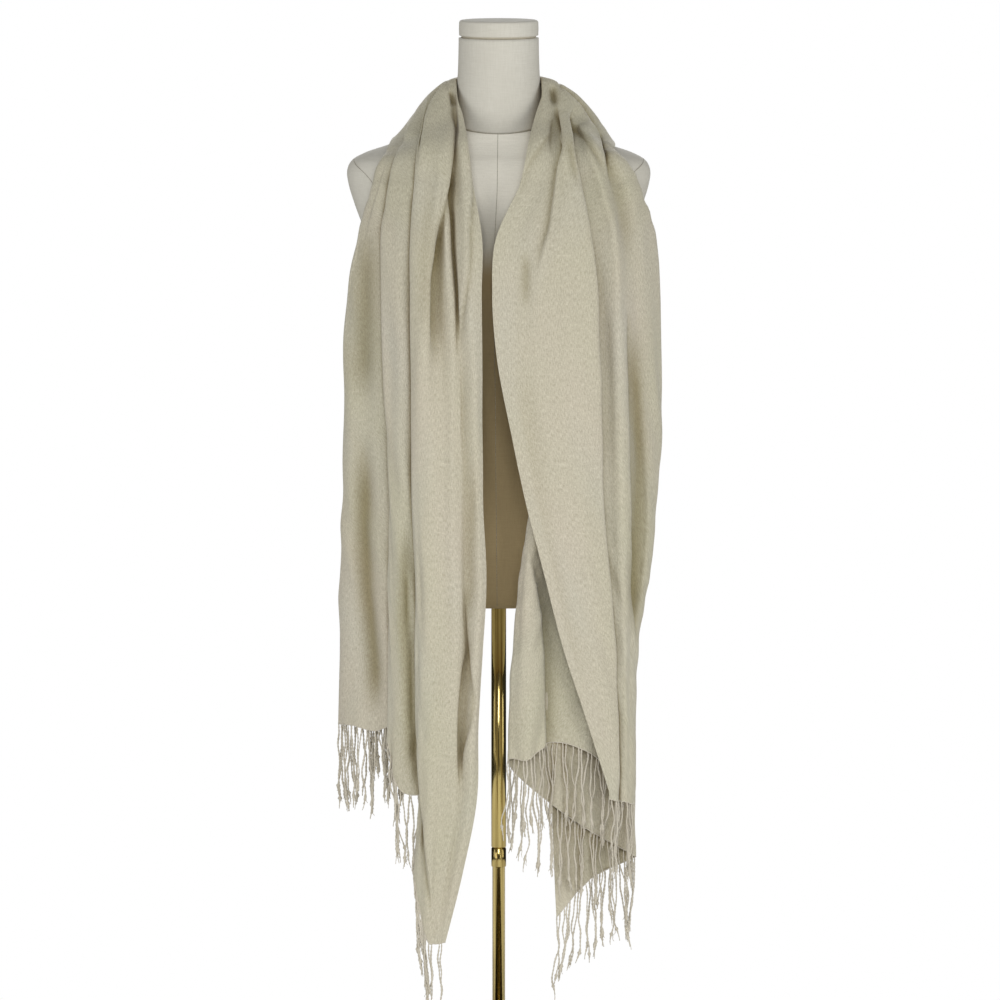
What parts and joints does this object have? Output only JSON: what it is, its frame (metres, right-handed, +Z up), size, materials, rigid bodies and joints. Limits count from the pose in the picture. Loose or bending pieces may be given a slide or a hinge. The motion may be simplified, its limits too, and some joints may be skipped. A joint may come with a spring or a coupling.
{
  "type": "pashmina shawl on a dress form",
  "caption": "Fringed pashmina shawl hung round the neck of a limbless linen dress form, in two pleated falls, on a pole and round base.",
  "frame": {"origin": "centre of the base's underside, on the floor below the pole", "axes": "+Z up along the pole, -Y to the front of the form, +X to the right of someone who faces it"},
  "size_m": [0.4027, 0.3263, 1.45],
  "materials": {
    "cashmere": "fine matt plain weave, undyed beige",
    "linen": "matt linen cover, cream",
    "brass": "polished"
  },
  "bodies": {
    "root": {"shawl_neck": "cashmere", "shawl_left": "cashmere", "shawl_right": "cashmere", "fringe_left": "cashmere", "fringe_right": "cashmere", "form_torso": "linen", "form_neck": "linen", "form_cap": "linen", "pole_upper": "brass", "pole_lower": "brass", "base": "brass"}
  },
  "joints": []
}
